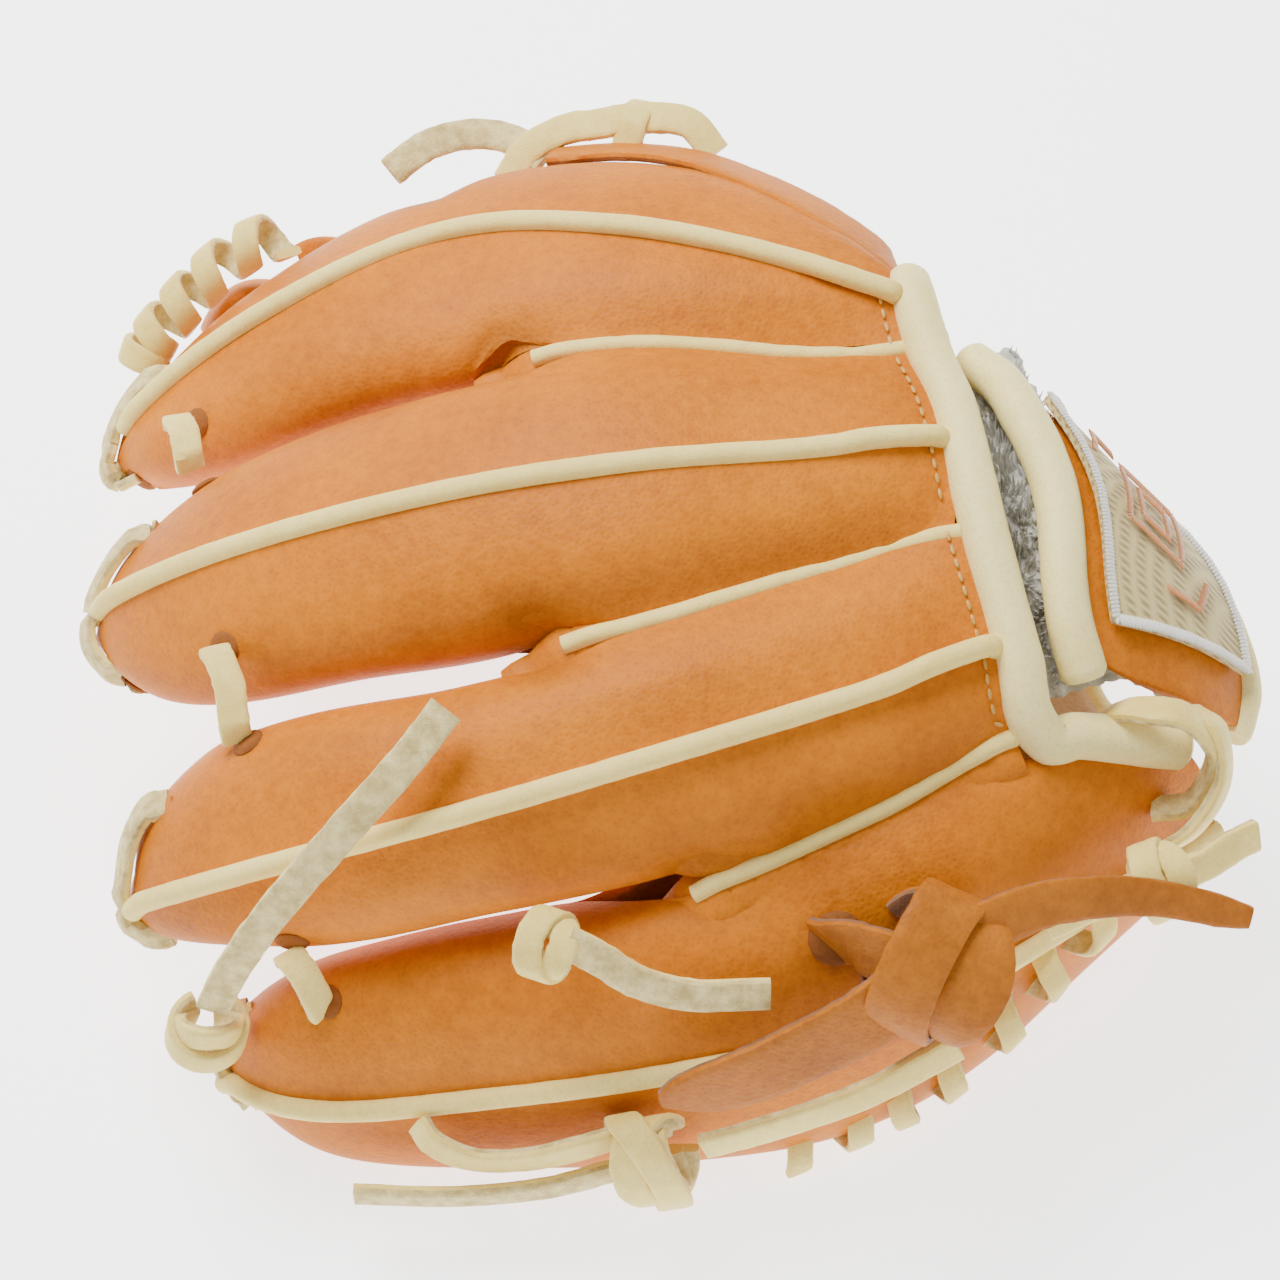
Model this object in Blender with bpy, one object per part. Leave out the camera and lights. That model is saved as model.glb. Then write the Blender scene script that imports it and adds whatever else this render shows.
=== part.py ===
"""Infielder's baseball glove for the left hand, half closed and lying palm down.

+X runs to the wrist, -X to the fingertips, +Y to the thumb, +Z out of the back.
Sizes are millimetres, turned into metres by MM. The glove is a fan of five stalls
(thumb, index, middle, ring, pinky). Each stall is a run of sections along its crest:
t = 0 at the heel, 1 at the edge of the back, 3 at the knuckles and 6 at the fingertip.
"""

import math

import bmesh
import bpy
from mathutils import Vector

MM = 0.001
ORIGIN = Vector((-0.34, -11.0, 2.86))  # of the object, in the lines' own millimetres

# Driving dimensions, in millimetres.
LEATHER = 3.0  # shell leather
LINING = 1.5  # glove-leather lining
FELT = 4.0  # wool felt pads
CLEAR = 0.4  # between pieces that lie on each other
VALLEY_CLEAR = 0.9  # between a valley's welting and the back panels beside it
STALL_THICK = 31.0  # a finger stall, back to front
HAND_THICK = 35.0  # the hand part, back to front
VALLEY_DIP = 10.0  # the hand part is this much thinner at a valley
WELT_R = 2.0  # welting along the crests and valleys
VALLEY_WELT_R = 1.6
ROLL_R = 4.4  # rolled binding round the wrist opening
STRAP_ROLL_R = 4.2
HEEL_ROLL_R = 3.0
HEEL_ROLL_GAP = 5.8
LACE_W = 6.6
LACE_ROUND_R = 1.9  # a lace drawn round, where it bends tightly
LACE_T = 2.6
TAB_W = 14.0  # brown loop strap
TAB_T = 2.8
TAB_TIP_W = 9.8  # its narrower tail
FUR = 5.0  # sheepskin under the wrist strap
PATCH_T = 1.6
WEB_GAP = 3.4
HINGE_GAP = 3.4  # half the gap between hand and thumb at the pocket crease
SIDE_ANGLE = math.radians(-26)  # where the back panel meets the front, round a stall's side
POCKET_PIVOT = Vector((30, 66, 72))  # on the axis that the thumb and the web fold about
STRAP_PIVOT = Vector((80, -1, 69))  # on the axis that the wrist strap flexes about
LAST_T = 5.985  # the sections stop this near the tip, under the fingertip lace

# Lines along the glove, one point at each t of 0..6: crests, valleys and free edges.
LINES = {
    "thumb_edge": [
        (62, 60, 8), (44, 68, 5), (20, 79, 3), (-6, 86, 3), (-36, 87, 4), (-62, 81, 7),
        (-84, 71, 12),
    ],
    "thumb_crest": [
        (60, 63, 34), (46, 76, 38), (24, 88, 38), (-6, 96, 37), (-38, 98, 34), (-64, 92, 31),
        (-86, 81, 28),
    ],
    "thumb_inner": [
        (60, 46, 64), (49, 53, 85), (26, 72, 85), (-6, 90, 66), (-38, 92, 55), (-64, 86, 48),
        (-86, 75, 42),
    ],
    "web_valley": [
        (60, 46, 64), (49, 53, 85), (26, 72, 85), (-6, 86, 82), (-38, 85, 75), (-75, 74, 59),
        (-113, 57, 35),
    ],
    "index_crest": [
        (74, 33, 71), (49, 38, 94), (24, 47, 97), (-8, 55, 96), (-41, 59, 88.5), (-77, 50, 75),
        (-119, 37, 47),
    ],
    "index_valley": [
        (80, 22, 63), (52, 27, 87.5), (27, 26.5, 93), (-6, 28, 94), (-40, 24, 89),
        (-78, 20, 73), (-117, 15, 44),
    ],
    "middle_crest": [
        (90, 6, 69), (55, 4, 96.5), (29, -2, 102), (-5, -7, 105), (-40, -10.5, 100),
        (-78, -12, 84), (-118, -10, 54),
    ],
    "middle_valley": [
        (97, -8, 60), (59, -13, 87), (32, -22, 91.5), (-2, -34, 92.5), (-38, -40, 86.5),
        (-74, -40, 72), (-106, -38, 48),
    ],
    "ring_crest": [
        (103, -23, 64), (64, -37, 89), (40, -48, 91.5), (2, -60.5, 90.5), (-36, -69, 82.5),
        (-71, -72.5, 68.5), (-107, -71, 43),
    ],
    "ring_valley": [
        (106, -45, 62), (70, -50, 75), (41, -65, 74), (3, -79, 66.5), (-34, -84, 59),
        (-66, -85, 48), (-94, -80, 34),
    ],
    "pinky_crest": [
        (114, -49, 38), (80, -76, 50), (46, -95, 48), (4, -103, 42), (-32, -105.5, 35),
        (-62, -105, 27), (-88, -98, 20),
    ],
    "pinky_edge": [
        (112, -41, 10), (80, -70, 5), (45, -97, 3), (4, -107, 3), (-32, -108.5, 3),
        (-62, -106, 4), (-88, -96, 8),
    ],
}
# stall: crest line, thumb-side line, pinky-side line, where each side opens (t of the crotch), tip t
STALLS = {
    "thumb": ("thumb_crest", "thumb_edge", "thumb_inner", -1, 2.7),
    "index": ("index_crest", "web_valley", "index_valley", 2.9, 3.65),
    "middle": ("middle_crest", "index_valley", "middle_valley", 3.65, 3.55),
    "ring": ("ring_crest", "middle_valley", "ring_valley", 3.55, 3.05),
    "pinky": ("pinky_crest", "ring_valley", "pinky_edge", 3.05, -1),
}
OPENS_OVER = 0.5  # t over which a crotch opens
CROTCH_SINK = 6.0  # a finger's side lies this much deeper than the valley
FINGER_GAP = {"index_valley": 1.2, "middle_valley": 3.0, "ring_valley": 2.6}
HEEL_TURN_T = 0.8  # nearer the heel the sections stop turning
TIP_FROM = 5.05  # t where a fingertip starts to round off
TIP_THICK = 23.0  # a stall near its tip
FINGERS = ["index", "middle", "ring", "pinky"]
HINGED = ["web_valley", "thumb_inner"]

LEATHER_TAN = (0.56, 0.22, 0.055, 1)
CREAM = (0.80, 0.68, 0.42, 1)
RAWHIDE = (0.74, 0.62, 0.36, 1)
BROWN = (0.42, 0.15, 0.04, 1)
GREY_FUR = (0.50, 0.51, 0.52, 1)
FELT_WHITE = (0.72, 0.70, 0.66, 1)
PATCH_BEIGE = (0.60, 0.54, 0.40, 1)
LINING_TAN = (0.62, 0.38, 0.18, 1)


def clear_scene():
    for obj in list(bpy.data.objects):
        bpy.data.objects.remove(obj)


def material(name, colour, roughness):
    mat = bpy.data.materials.get(name)
    if mat is None:
        mat = bpy.data.materials.new(name)
        mat.use_nodes = True
        shader = mat.node_tree.nodes["Principled BSDF"]
        shader.inputs["Base Color"].default_value = colour
        shader.inputs["Roughness"].default_value = roughness
        shader.inputs["Metallic"].default_value = 0.0
    return mat


TAN = ("tan_leather", LEATHER_TAN, 0.45)
CREAM_LEATHER = ("cream_leather", CREAM, 0.5)
LACE = ("rawhide_lace", RAWHIDE, 0.7)
TAB = ("brown_strap", BROWN, 0.5)
FUR_MAT = ("grey_fur", GREY_FUR, 0.95)
FELT_MAT = ("wool_felt", FELT_WHITE, 0.95)
PATCH = ("patch_cloth", PATCH_BEIGE, 0.85)
LINING_MAT = ("lining_leather", LINING_TAN, 0.7)


def smooth_step(low, high, x):
    x = min(max((x - low) / (high - low), 0.0), 1.0)
    return x * x * (3 - 2 * x)


def lerp(a, b, x):
    return a + (b - a) * x


def on_line(points, t):
    """A smooth curve through the points, which lie at t = 0, 1, 2 ..."""
    points = [Vector(p) for p in points]
    i = min(max(int(math.floor(t)), 0), len(points) - 2)
    x = t - i
    p1, p2 = points[i], points[i + 1]
    p0 = points[i - 1] if i > 0 else 2 * p1 - p2
    p3 = points[i + 2] if i + 2 < len(points) else 2 * p2 - p1
    return 0.5 * (
        2 * p1
        + (p2 - p0) * x
        + (2 * p0 - 5 * p1 + 4 * p2 - p3) * x * x
        + (3 * p1 - p0 - 3 * p2 + p3) * x**3
    )


def line(name, t):
    return on_line(LINES[name], t)


def opened(crotch, t):
    """0 where the stall is joined to its neighbour, 1 where its side is free."""
    return 1.0 if crotch < 0 else smooth_step(crotch - OPENS_OVER / 2, crotch + OPENS_OVER / 2, t)


def stall_frame(stall, t):
    """Crest point, the direction to the thumb side and the direction out of the back."""
    crest, left, right = STALLS[stall][:3]
    turn_t = max(t, HEEL_TURN_T)
    along = (line(crest, turn_t + 0.05) - line(crest, turn_t - 0.05)).normalized()
    across = (line(left, turn_t) - line(right, turn_t)).normalized()
    out = across.cross(along).normalized()
    return line(crest, t), along.cross(out).normalized(), out


def valley_out(name, t):
    """The direction out of the glove at a valley: the mean of its two stalls'."""
    wanted = HINGED if name in HINGED else [name]
    outs = [stall_frame(s, t)[2] for s, v in STALLS.items() if set(wanted) & set(v[1:3])]
    return sum(outs, Vector()).normalized()


def side_point(stall, side, t):
    """The end of the back's section at one side, side +1 to the thumb and -1 to the pinky."""
    _, left, right, left_crotch, right_crotch, *_ = STALLS[stall]
    name, crotch = (left, left_crotch) if side > 0 else (right, right_crotch)
    crest, across, out = stall_frame(stall, t)
    free = opened(crotch, t)
    if crotch < 0:
        return line(name, t), 1.0
    joined = HINGE_GAP if name in HINGED else VALLEY_WELT_R + VALLEY_CLEAR
    if name == "ring_valley":
        joined = lerp(ROLL_R + CLEAR, joined, smooth_step(0.9, 1.3, t))
    gap = lerp(joined, FINGER_GAP.get(name, 0.0), free)
    sink = lerp(0.0, CROTCH_SINK, free)
    return line(name, t) - across * side * gap - out * sink, free


def tip_round(t):
    """How much of the full section is left where the fingertip rounds off, and how far along that is."""
    x = min(max((t - TIP_FROM) / (6 - TIP_FROM), 0.0), 1.0)
    return math.sqrt(max(1 - x**2.6, 0.0)), x * x


def section(stall, side, t, angle, depth):
    """A point of the stall's skin: angle 90 degrees is the crest, 0 the side, -90 the front."""
    crest, across, out = stall_frame(stall, t)
    edge, _ = side_point(stall, side, t)
    wide = abs((edge - crest).dot(across))
    high = max((crest - edge).dot(out), 2.0)
    thick = lerp(STALL_THICK, TIP_THICK, smooth_step(3.5, 6, t))
    low = max(thick - high, 6.0)
    share, tip = tip_round(t)
    centre = crest - out * high
    squeeze = lerp(centre, centre + out * (high - thick / 2), tip)
    reach = high if angle >= 0 else low
    x = max(wide * share - depth, 0.4) * math.cos(angle) ** 0.92
    z = max(reach * share - depth, 0.3) * abs(math.sin(angle)) ** 0.92
    along = out.cross(across)
    return squeeze + across * side * x + out * math.copysign(z, angle) + along * depth * tip


def back_skin(stall, side, t, v, depth):
    """The back panel's section from the crest welt (v = 0) to the side (v = 1)."""
    crest, across, out = stall_frame(stall, t)
    edge, free = side_point(stall, side, t)
    wide = max(abs((edge - crest).dot(across)) * tip_round(t)[0], WELT_R + 2)
    start = math.acos(min((WELT_R + CLEAR) / wide, 0.8) ** (1 / 0.92))
    end = SIDE_ANGLE * free
    return section(stall, side, t, lerp(start, end, v), depth)


def front_skin(stall, t, v, depth):
    """The front leather from the thumb side (v = 0) to the pinky side (v = 1)."""
    crest, across, out = stall_frame(stall, t)
    left, right = STALLS[stall][1:3]
    _, free_left = side_point(stall, 1, t)
    _, free_right = side_point(stall, -1, t)
    free = lerp(free_left, free_right, v)
    gap_angle = SIDE_ANGLE - math.radians(5 + 7 * tip_round(t)[1])
    side = 1 if v < 0.5 else -1
    angle = lerp(gap_angle, -math.pi / 2, 1 - abs(2 * v - 1))
    tube = section(stall, side, t, angle, depth)
    ends = []
    for name, sign in ((left, 1), (right, -1)):
        gap = HINGE_GAP if name in HINGED else 0.0
        inward = valley_out(name, t) * (HAND_THICK - VALLEY_DIP - depth)
        ends.append(line(name, t) - inward - across * sign * gap)
    middle = crest - out * (HAND_THICK - 1 - depth)
    flat = lerp(ends[0], ends[1], v)
    bulge = middle - (ends[0] + ends[1]) / 2
    return lerp(flat + bulge * (4 * v * (1 - v)), tube, free)


def axis_point(name):
    """Where a piece's origin stands: on its joint's axis if it moves, else at the glove's own origin."""
    if name.startswith(("thumb_", "web_")):
        return POCKET_PIVOT
    if name.startswith("strap_") or name == "wrist_strap":
        return STRAP_PIVOT
    return ORIGIN


def place(name, data, look):
    """A named object in the glove's collection, its data being millimetres from axis_point."""
    data.materials.append(material(*look))
    obj = bpy.data.objects.new(name, data)
    obj.location = (axis_point(name) - ORIGIN) * MM
    glove.objects.link(obj)


def finish(name, bm, look):
    """Turns the bmesh, in the lines' millimetres, into a named object."""
    bmesh.ops.remove_doubles(bm, verts=bm.verts, dist=0.01)
    if bm.calc_volume(signed=True) < 0:
        bmesh.ops.reverse_faces(bm, faces=bm.faces)
    bmesh.ops.translate(bm, vec=-axis_point(name), verts=bm.verts)
    bmesh.ops.scale(bm, vec=(MM, MM, MM), verts=bm.verts)
    mesh = bpy.data.meshes.new(name)
    bm.to_mesh(mesh)
    bm.free()
    mesh.shade_smooth()
    mesh.set_sharp_from_angle(angle=math.radians(50))
    place(name, mesh, look)


def brick(u_steps, v_steps):
    """A closed slab over u and v from 0 to 1, whose two faces are at w = 0 and w = 1."""
    bm = bmesh.new()
    bmesh.ops.create_grid(bm, x_segments=u_steps, y_segments=v_steps, size=0.5)
    bmesh.ops.translate(bm, verts=bm.verts, vec=(0.5, 0.5, 0))
    top = bmesh.ops.extrude_face_region(bm, geom=bm.faces[:])
    raised = [g for g in top["geom"] if isinstance(g, bmesh.types.BMVert)]
    bmesh.ops.translate(bm, verts=raised, vec=(0, 0, 1))
    return bm


def sheet(name, shape, u_steps, v_steps, look):
    """A slab bent so that each of its corners (u, v, w) goes to shape(u, v, w)."""
    bm = brick(u_steps, v_steps)
    for vert in bm.verts:
        vert.co = shape(*vert.co)
    finish(name, bm, look)


def tube(name, points, radius, look, sides=8):
    """A round cord through the points, as a curve with filled caps."""
    curve = bpy.data.curves.new(name, "CURVE")
    curve.dimensions = "3D"
    curve.bevel_depth = radius * MM
    curve.bevel_resolution = (sides - 4) // 2
    curve.use_fill_caps = True
    spline = curve.splines.new("POLY")
    spline.points.add(len(points) - 1)
    for target, point in zip(spline.points, points):
        target.co = (*((Vector(point) - axis_point(name)) * MM), 1)
    place(name, curve, look)


def strip(name, points, outs, width, thick, look):
    """A flat lace along the points; outs are the directions that its face looks in."""
    last = len(points) - 1

    def shape(u, v, w):
        i = min(round(u * last), last)
        before, after = points[max(i - 1, 0)], points[min(i + 1, last)]
        along = (after - before).normalized()
        out = (outs[i] - along * outs[i].dot(along)).normalized()
        across = along.cross(out)
        return points[i] + across * width * (v - 0.5) + out * thick * (w - 0.5)

    sheet(name, shape, last, 1, look)


def row(u, first, last=LAST_T):
    """The t of a panel's row, the rows being closer together near the tip."""
    return lerp(first, last, 1 - (1 - u) ** 1.35)


clear_scene()
glove = bpy.data.collections.new("baseball_glove")
bpy.context.scene.collection.children.link(glove)

# Back panels: two a stall, from the crest welt to the valley or round the side.
BACK_EDGE_T = 1.15
WELT_TO = 5.78
FIRST_T = {"thumb": 0.06, "pinky": 0.06}
for stall in STALLS:
    first = FIRST_T.get(stall, BACK_EDGE_T)
    for side, word in ((1, "upper"), (-1, "lower")):

        def panel(u, v, w, stall=stall, side=side, first=first):
            return back_skin(stall, side, row(u, first), v, w * LEATHER)

        sheet(f"{stall}_back_{word}", panel, 18 if first < 1 else 15, 4, TAN)

# Front leather: one palm with four finger fronts, slit at the crotches, and the thumb's front.
HAND_ROWS = [0.06, 0.35, 0.7, 1.1, 1.5, 1.9, 2.35, 2.78, 3.05, 3.28]
PALM_ROWS = HAND_ROWS + [3.39, 3.7, 4.0, 4.35, 4.7, 5.05, 5.35, 5.6, 5.78, 5.88]
STRIP_STEPS = 4


def slit_brick(count, rows):
    """Strips side by side, joined up to each crotch. Vertex co = (stall + v * 0.9, row, w)."""
    bm = bmesh.new()
    for k in range(count):
        part = bmesh.ops.create_grid(bm, x_segments=STRIP_STEPS, y_segments=len(rows) - 1, size=0.5)
        for vert in part["verts"]:
            vert.co = (k + (vert.co.x + 0.5) * 0.9, round((vert.co.y + 0.5) * (len(rows) - 1)), 0)
    joins = {}
    for k in range(count - 1):
        crotch = STALLS[FINGERS[k]][4] - OPENS_OVER / 2
        ends = {}
        for vert in bm.verts:
            if rows[round(vert.co.y)] <= crotch + 0.001:
                ends[(round(vert.co.x, 3), round(vert.co.y))] = vert
        for (x, y), vert in ends.items():
            if abs(x - (k + 1)) < 0.001:
                joins[vert] = ends[(round(k + 0.9, 3), y)]
    bmesh.ops.weld_verts(bm, targetmap=joins)
    top = bmesh.ops.extrude_face_region(bm, geom=bm.faces[:])
    raised = [g for g in top["geom"] if isinstance(g, bmesh.types.BMVert)]
    bmesh.ops.translate(bm, verts=raised, vec=(0, 0, 1))
    return bm


def front(name, stalls, rows, depth, thick, look):
    bm = slit_brick(len(stalls), rows)
    for vert in bm.verts:
        k = min(int(vert.co.x + 0.05), len(stalls) - 1)
        v = min(max((vert.co.x - k) / 0.9, 0.0), 1.0)
        vert.co = front_skin(stalls[k], rows[round(vert.co.y)], v, depth + thick * vert.co.z)
    finish(name, bm, look)


front("palm_leather", FINGERS, PALM_ROWS, 0, LEATHER, TAN)
front("thumb_palm_leather", ["thumb"], PALM_ROWS, 0, LEATHER, TAN)

# Lining: a glove-leather palm lining over felt pads, and a lining tube in each stall.
UNDER = LEATHER + CLEAR
LINING_ROWS = PALM_ROWS[:8]
PAD_ROWS = PALM_ROWS[1:7]
front("palm_lining", FINGERS, LINING_ROWS, UNDER + FELT + CLEAR, LINING, LINING_MAT)
front("heel_pad", ["ring", "pinky"], PAD_ROWS, UNDER, FELT, FELT_MAT)
front("thumb_pad", ["thumb"], PAD_ROWS, UNDER, FELT, FELT_MAT)


def stall_lining(stall, first, last):
    """An open tube of lining leather inside a stall."""
    sides, count = 12, 6
    bm = bmesh.new()
    bmesh.ops.create_grid(bm, x_segments=count, y_segments=sides, size=0.5)
    bmesh.ops.translate(bm, verts=bm.verts, vec=(0.5, 0.5, 0))
    seam = {round(v.co.x, 3): v for v in bm.verts if v.co.y < 0.001}
    joins = {v: seam[round(v.co.x, 3)] for v in bm.verts if v.co.y > 0.999}
    bmesh.ops.weld_verts(bm, targetmap=joins)
    top = bmesh.ops.extrude_face_region(bm, geom=bm.faces[:])
    for g in top["geom"]:
        if isinstance(g, bmesh.types.BMVert):
            g.co.z = 1
    for vert in bm.verts:
        t = lerp(first, last, vert.co.x)
        turn = 2 * math.pi * vert.co.y + 0.01
        side = 1 if math.cos(turn) > 0 else -1
        angle = math.asin(math.sin(turn))
        vert.co = section(stall, side, t, angle, UNDER + CLEAR + vert.co.z * LINING)
    finish(f"{stall}_lining", bm, LINING_MAT)


for stall, first in (("thumb", 3.1), ("index", 3.95), ("middle", 3.95), ("ring", 3.85), ("pinky", 3.4)):
    stall_lining(stall, first, 5.35)

# Welting: one along each crest, and one in each valley from the crotch to the back edge.
for stall in STALLS:
    first = FIRST_T.get(stall, BACK_EDGE_T)
    points = []
    for i in range(19):
        points.append(section(stall, 1, row(i / 18, first, WELT_TO), math.pi / 2, -0.3))
    tube(f"{stall}_crest_welt", points, WELT_R, CREAM_LEATHER)
for name, stall in (("index_valley", "index"), ("middle_valley", "middle"), ("ring_valley", "ring")):
    last = STALLS[stall][4] - 0.3
    points = []
    for i in range(13):
        t = lerp(BACK_EDGE_T + 0.15, last, i / 12)
        points.append(line(name, t) - valley_out(name, 2) * 0.8)
    tube(f"{name}_welt", points, VALLEY_WELT_R, CREAM_LEATHER)

# Rolled bindings: round the back opening, along the strap and along the heel.
BACK_ROLL = [
    (51.5, 45, 90), (52, 40, 92), (55, 26, 92), (58.5, 13, 94), (61, -2, 94), (63.5, -16, 92),
    (66.5, -29, 89), (69, -39, 86), (70.5, -46, 81), (75, -49.6, 75),
]


def smooth_points(points, count):
    last = len(points) - 1
    return [on_line(points, last * i / (count - 1)) for i in range(count)]


roll_tail = [line("ring_valley", t) + Vector((0, 0, 1)) for t in (0.7, 0.5, 0.3, 0.1)]
tube("back_binding", smooth_points(BACK_ROLL + roll_tail, 27), ROLL_R, CREAM_LEATHER)


def heel_edge(stall, v):
    """A point just off the front leather's heel edge."""
    edge = front_skin(stall, PALM_ROWS[0], v, LEATHER / 2)
    outward = (edge - front_skin(stall, PALM_ROWS[1], v, LEATHER / 2)).normalized()
    return edge + outward * (HEEL_ROLL_R + HEEL_ROLL_GAP)


heel_points = [heel_edge(stall, v) for stall in FINGERS for v in (0.12, 0.4, 0.7)]
tube("heel_binding", smooth_points(heel_points, 31), HEEL_ROLL_R, CREAM_LEATHER)
thumb_heel = [heel_edge("thumb", v) for v in (0.1, 0.3, 0.5, 0.7, 0.92)]
tube("thumb_heel_binding", smooth_points(thumb_heel, 10), HEEL_ROLL_R, CREAM_LEATHER)

# Wrist strap: a band from the thumb side to the pinky side, with fur beneath and a patch on it.
STRAP_INNER = [
    (63, 31, 82), (68.5, 23, 86), (72, 14, 88), (75.5, 5, 88), (77.5, -4, 87.5), (78, -13, 87),
    (78, -22, 86), (79, -30, 83.5), (82, -38, 78),
]
STRAP_OUTER = [
    (64, 36, 62), (74, 27, 62), (85, 16, 62), (96, 6, 61), (106, -3, 60), (112, -12, 59),
    (115, -21, 58), (116, -31, 57), (113, -40, 57),
]
STRAP_BULGE = 3.5


def strap_mid(u, v):
    a, b = on_line(STRAP_INNER, 8 * u), on_line(STRAP_OUTER, 8 * u)
    out = Vector((0.62, 0.25, 0.74)).normalized()
    return lerp(a, b, v) + out * STRAP_BULGE * 4 * v * (1 - v)


def strap_skin(u, v, height):
    """A point this far outside the strap's inner face."""
    du = strap_mid(min(u + 0.02, 1), v) - strap_mid(max(u - 0.02, 0), v)
    dv = strap_mid(u, min(v + 0.03, 1)) - strap_mid(u, max(v - 0.03, 0))
    return strap_mid(u, v) + du.cross(dv).normalized() * height


def strap_sheet(name, us, inset, low, high, steps_u, steps_v, look):
    def shape(u, v, w):
        u = lerp(*us, u)
        wide = (strap_mid(u, 1) - strap_mid(u, 0)).length
        first = (STRAP_ROLL_R + 3 * CLEAR + inset) / wide
        last = 1 - (HEEL_ROLL_R + 2 * CLEAR + inset) / wide
        return strap_skin(u, lerp(first, last, v), lerp(low, high, w))

    sheet(name, shape, steps_u, steps_v, look)


strap_sheet("wrist_strap", (0, 1), 0, 0, LEATHER, 12, 4, TAN)
strap_sheet("strap_fur_lining", (0.02, 0.98), 0.5, -CLEAR - FUR, -CLEAR, 10, 3, FUR_MAT)
strap_sheet("strap_patch", (0.2, 0.86), 1.5, LEATHER + CLEAR, LEATHER + CLEAR + PATCH_T, 9, 4, PATCH)
tube("strap_inner_binding", [strap_skin(i / 16, 0.0, 1) for i in range(17)], STRAP_ROLL_R, CREAM_LEATHER)
tube("strap_outer_binding", [strap_skin(i / 16, 1.0, 1) for i in range(17)], HEEL_ROLL_R, CREAM_LEATHER)

# Web: a panel between the sides of the index and thumb stalls, with a laced top bar.
WEB_BOW = 13.0
WEB_SKEW = 0.45  # how much faster the thumb's side runs than the index's
WEB_FOLDED_T = 4.2  # two thicknesses, pressed flat in the closed glove
WEB_RISE = 15.0
WEB_ANGLE = SIDE_ANGLE - math.radians(2.5)


def web_mid(t, v, lift=0.0):
    a = section("index", 1, t, WEB_ANGLE, -WEB_GAP)
    b = section("thumb", -1, t, WEB_ANGLE, -WEB_GAP)
    bow = lerp(1.5, WEB_BOW, smooth_step(3.4, 5.8, t))
    out = Vector((-0.35, 0.75, 0.56)).normalized()
    return lerp(a, b, v) + out * (bow * 4 * v * (1 - v) + lift)


def web_root(t):
    """The middle of the slot between the two stalls, where the folded web comes out."""
    a = section("index", 1, t, WEB_ANGLE, -WEB_GAP)
    b = section("thumb", -1, t + 0.2 + WEB_SKEW * (t - 4.5), WEB_ANGLE, -WEB_GAP)
    return lerp(a, b, 0.5)


def web_shape(u, v, w):
    t = lerp(4.35, 5.12, u)
    out = Vector((-0.35, 0.75, 0.56)).normalized()
    across = (web_root(t + 0.02) - web_root(t - 0.02)).cross(out).normalized()
    rise = lerp(4.0, WEB_RISE, smooth_step(4.3, 5.1, t)) * v
    return web_root(t) + out * rise + across * ((w - 0.5) * WEB_FOLDED_T)


sheet("web_panel", web_shape, 12, 5, TAN)
tube("web_top_bar", [web_mid(5.75, lerp(0.24, 0.80, i / 9)) for i in range(10)], 3.6, CREAM_LEATHER)

# Fingertip laces: one round each tip, from the upper panel to the lower.
TIP_LACES = {
    "index": [(-105, 50, 57), (-111, 48, 53), (-117.5, 41, 47), (-118, 31, 41), (-112, 23, 38)],
    "middle": [(-104, 9, 65), (-110.5, 4, 62), (-117.5, -8, 55), (-114, -20, 48), (-105, -26, 45)],
    "ring": [
        (-95, -52, 57.5), (-100.5, -55, 53.5), (-106, -64, 46), (-104, -75, 37),
        (-95, -81, 34),
    ],
    "pinky": [(-83, -82, 33), (-90, -86, 30), (-94.5, -95, 22), (-92, -103, 13), (-86, -105, 8)],
}
for stall, points in TIP_LACES.items():
    tube(f"{stall}_tip_lace", smooth_points(points, 13), LACE_ROUND_R, LACE)

# Cross laces between neighbouring fingers, near the tips.
CROSS_LACES = {
    "index_middle": [(-96, 27, 68), (-94, 23, 70), (-93, 18, 69)],
    "middle_ring": [(-83, -31, 76), (-80, -38, 75), (-79, -45, 72)],
    "ring_pinky": [(-68, -84, 53), (-65, -87.5, 51), (-63, -90.5, 46.5)],
}
for pair, points in CROSS_LACES.items():
    tube(f"{pair}_cross_lace", smooth_points(points, 7), LACE_ROUND_R, LACE)


def knot(name, centre, size, look):
    bm = bmesh.new()
    bmesh.ops.create_icosphere(bm, subdivisions=2, radius=1.0)
    for vert in bm.verts:
        vert.co = Vector(centre) + Vector([a * b for a, b in zip(vert.co, size)])
    finish(name, bm, look)


def free_strip(name, points, count, width, thick, look):
    """A flat lace through hand-chosen points, its face looking away from the glove's middle."""
    line_points = smooth_points(points, count)
    outs = [(p - Vector((p.x, 0, 15))).normalized() for p in line_points]
    strip(name, line_points, outs, width, thick, look)


knot("pinky_tip_knot", (-86, -92.5, 37.5), (6, 5, 5), LACE)
PINKY_TAIL = [
    (-83, -91, 45), (-77.5, -88, 58), (-68, -83, 74), (-55, -73, 86), (-45, -63.5, 92),
    (-37, -54, 96),
]
free_strip("pinky_tip_tail", PINKY_TAIL, 15, LACE_W, LACE_T, LACE)
knot("crotch_knot", (-18, -90, 73), (7, 5, 5), LACE)
CROTCH_TAIL = [(-9, -93, 72.5), (-2, -96, 69), (8, -97.5, 66.5), (22, -97, 66)]
free_strip("crotch_tail", CROTCH_TAIL, 9, LACE_W, LACE_T, LACE)
SIDE_LACE = [(-41, -113, 30), (-33, -115, 27), (-22, -115, 28), (-12, -114, 32)]
free_strip("side_lace", SIDE_LACE, 8, LACE_W, LACE_T, LACE)
knot("side_knot", (1, -117, 29), (7, 5.5, 9), LACE)
RIGHT_TAIL = [(10, -115.5, 36), (22, -113.5, 40), (40, -109, 46), (57, -102, 53)]
free_strip("side_knot_tail_right", RIGHT_TAIL, 11, LACE_W, LACE_T, LACE)
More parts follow.
